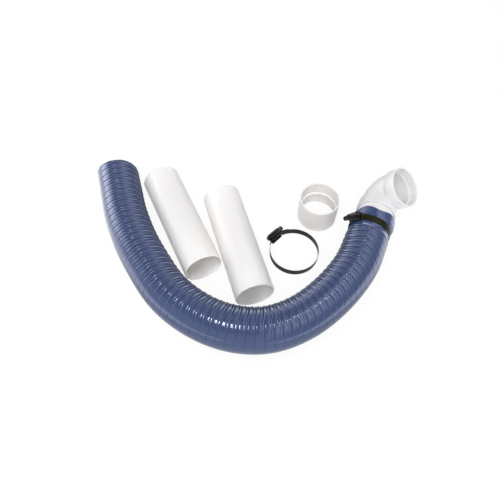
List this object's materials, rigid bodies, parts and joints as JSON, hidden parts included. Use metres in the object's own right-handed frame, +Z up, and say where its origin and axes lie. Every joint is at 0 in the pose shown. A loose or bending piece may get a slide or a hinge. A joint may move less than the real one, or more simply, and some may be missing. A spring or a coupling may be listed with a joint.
{
  "type": "sewer hose kit",
  "caption": "Ribbed drain hose clamped to an elbow by a worm-drive clamp, laid out on a floor with loose cut pipes, a coupling and a spare clamp.",
  "frame": {"origin": "middle of the laid-out kit on the floor it lies on", "axes": "+X to the right and +Y away as the picture shows it, +Z up"},
  "size_m": [0.7324, 0.4442, 0.1225],
  "materials": {
    "hose_vinyl": "glossy blue grey vinyl with a moulded-in spiral rib",
    "white_pvc": "smooth white pipe with a soft gloss",
    "fitting_pvc": "moulded cool white with a soft gloss",
    "coupling_pvc": "moulded warm grey, semi matt",
    "band_steel": "dark rolled strip, slightly olive",
    "housing_steel": "blackened pressed sheet",
    "screw_steel": "dark plated screw"
  },
  "bodies": {
    "hose": {"hose": "hose_vinyl", "pipe_stub": "white_pvc", "hose_clamp_band": "band_steel", "hose_clamp_housing": "housing_steel"},
    "elbow": {"elbow": "fitting_pvc"},
    "hose_clamp_screw": {"hose_clamp_screw": "screw_steel"},
    "loose_clamp": {"loose_clamp_band": "band_steel", "loose_clamp_housing": "housing_steel"},
    "loose_clamp_screw": {"loose_clamp_screw": "screw_steel"},
    "pipe_a": {"pipe_a": "white_pvc"},
    "pipe_b": {"pipe_b": "white_pvc"},
    "coupling": {"coupling": "coupling_pvc"}
  },
  "joints": [
    {"name": "elbow_turn", "type": "hinge", "parent": "hose", "child": "elbow", "pos_m": [0.2655, 0.0986, 0.04689], "axis": [-0.3698, -0.9291, 0], "range_deg": [-50, 130]},
    {"name": "hose_clamp_screw_turn", "type": "hinge", "parent": "hose", "child": "hose_clamp_screw", "pos_m": [0.21344, 0.08326, 0.08025], "axis": [-0.572, 0.2276, -0.788], "continuous": true},
    {"name": "loose_clamp_lift", "type": "slide", "parent": "hose", "child": "loose_clamp", "axis": [0, 0, 1], "range_m": [0, 0.12]},
    {"name": "loose_clamp_screw_turn", "type": "hinge", "parent": "loose_clamp", "child": "loose_clamp_screw", "pos_m": [0.04367, 0.07463, 0.00935], "axis": [0.682, 0.7314, 0], "continuous": true},
    {"name": "pipe_a_lift", "type": "slide", "parent": "hose", "child": "pipe_a", "axis": [0, 0, 1], "range_m": [0, 0.12]},
    {"name": "pipe_b_lift", "type": "slide", "parent": "hose", "child": "pipe_b", "axis": [0, 0, 1], "range_m": [0, 0.12]},
    {"name": "coupling_lift", "type": "slide", "parent": "hose", "child": "coupling", "axis": [0, 0, 1], "range_m": [0, 0.12]}
  ]
}
